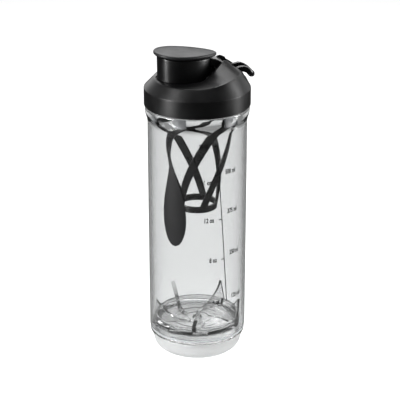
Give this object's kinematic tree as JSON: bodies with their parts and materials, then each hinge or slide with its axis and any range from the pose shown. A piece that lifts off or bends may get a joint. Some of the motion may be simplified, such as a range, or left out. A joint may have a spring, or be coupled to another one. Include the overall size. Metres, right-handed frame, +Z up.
{
  "type": "protein shaker bottle",
  "caption": "Clear straight-sided shaker bottle with a screw-in vortex base, a screw-on lid with flip cap and carry loop, and a twisted agitator cage inside.",
  "frame": {"origin": "centre of the flat underside of the base, on the bottle's axis", "axes": "+Z up along the bottle's axis, -X towards the drinking side of the cap, +X towards the cap hinge and carry loop"},
  "size_m": [0.0831, 0.0794, 0.2383],
  "materials": {
    "clear_base": "clear copolyester with a fine frosted inside",
    "clear_floor": "clear copolyester, gloss moulded",
    "clear_silicone": "translucent silicone",
    "clear_body": "clear copolyester, gloss moulded",
    "grey_silicone": "matte grey silicone",
    "black_lid": "black polypropylene, fine satin texture",
    "black_cap": "black polypropylene, fine satin texture",
    "black_cap_top": "black polypropylene, fine satin texture",
    "hinge_pin_steel": "stainless dowel pin",
    "black_loop": "black acetal, smooth",
    "grey_ring": "dark grey polypropylene, smooth",
    "black_cage": "black polypropylene, gloss"
  },
  "bodies": {
    "base": {"base_cup": "clear_base", "vortex_floor": "clear_floor"},
    "base_seal": {"base_gasket": "clear_silicone"},
    "bottle": {"bottle_body": "clear_body"},
    "lid_seal": {"lid_gasket": "grey_silicone"},
    "lid": {"lid_shell": "black_lid", "cap_hinge_pin": "hinge_pin_steel"},
    "cap": {"flip_cap": "black_cap", "cap_top_disc": "black_cap_top", "spout_seal": "grey_silicone"},
    "loop": {"carry_loop": "black_loop"},
    "agitator": {"agitator_ring": "grey_ring", "agitator_cage": "black_cage"}
  },
  "joints": [
    {"name": "base_rise", "type": "slide", "parent": "base", "child": "base_seal", "axis": [0, 0, 1], "range_m": [0, 0.00751]},
    {"name": "base_turn", "type": "hinge", "parent": "base_seal", "child": "bottle", "pos_m": [0, 0, 0.018], "axis": [0, 0, 1], "range_deg": [0, 540]},
    {"name": "lid_rise", "type": "slide", "parent": "bottle", "child": "lid_seal", "axis": [0, 0, 1], "range_m": [0, 0.00939]},
    {"name": "lid_turn", "type": "hinge", "parent": "lid_seal", "child": "lid", "pos_m": [0, 0, 0.2], "axis": [0, 0, 1], "range_deg": [0, 675]},
    {"name": "cap_hinge", "type": "hinge", "parent": "lid", "child": "cap", "pos_m": [0.0165, 0, 0.2256], "axis": [0, 1, 0], "range_deg": [0, 100]},
    {"name": "loop_hinge", "type": "hinge", "parent": "lid", "child": "loop", "pos_m": [0.026, 0, 0.2186], "axis": [0, -1, 0], "range_deg": [0, 42]},
    {"name": "agitator_slide", "type": "slide", "parent": "lid", "child": "agitator", "axis": [0, 0, -1], "range_m": [0, 0.009]}
  ],
  "couplings": [
    {"joint": "base_rise", "follows": "base_turn", "m_per_rad": 0.00079577},
    {"joint": "lid_rise", "follows": "lid_turn", "m_per_rad": 0.00079577}
  ]
}
